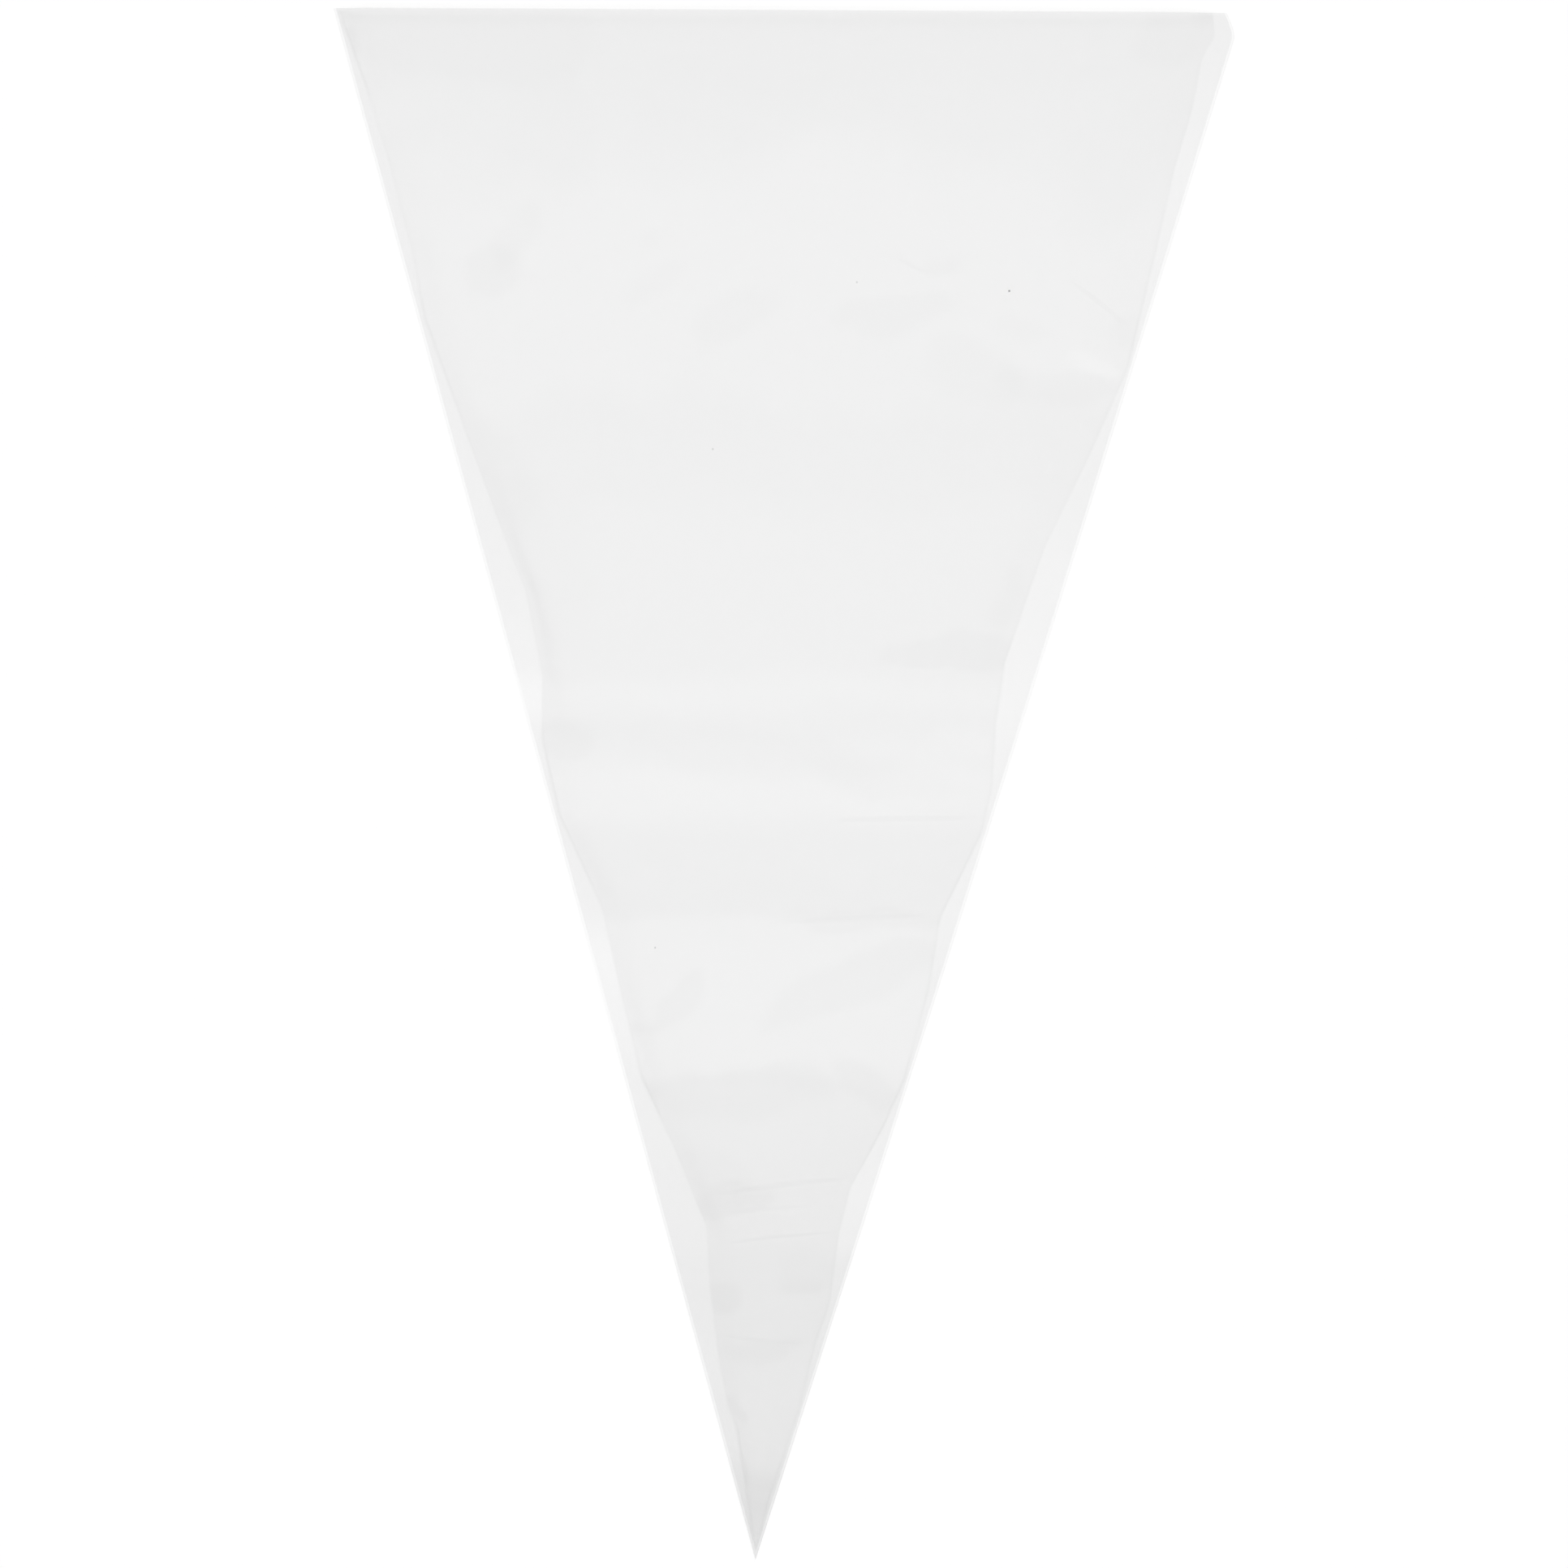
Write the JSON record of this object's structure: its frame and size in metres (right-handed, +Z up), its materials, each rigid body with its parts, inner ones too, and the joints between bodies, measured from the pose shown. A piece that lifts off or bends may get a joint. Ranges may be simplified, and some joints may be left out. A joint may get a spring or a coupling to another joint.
{
  "type": "disposable piping bag",
  "caption": "Flat, empty film bag in the shape of a long slanted cone, open at the wide mouth and closed at the uncut tip, for piping icing or cream.",
  "frame": {"origin": "under the middle of the bag's box, on the surface the lower ply lies on", "axes": "+X across the bag, +Y from the tip towards the open mouth, +Z up, away from the surface it lies on"},
  "size_m": [0.2672, 0.46, 0.0028],
  "materials": {
    "film": "clear, slightly hazy film"
  },
  "bodies": {
    "root": {"piping_bag": "film"}
  },
  "joints": []
}
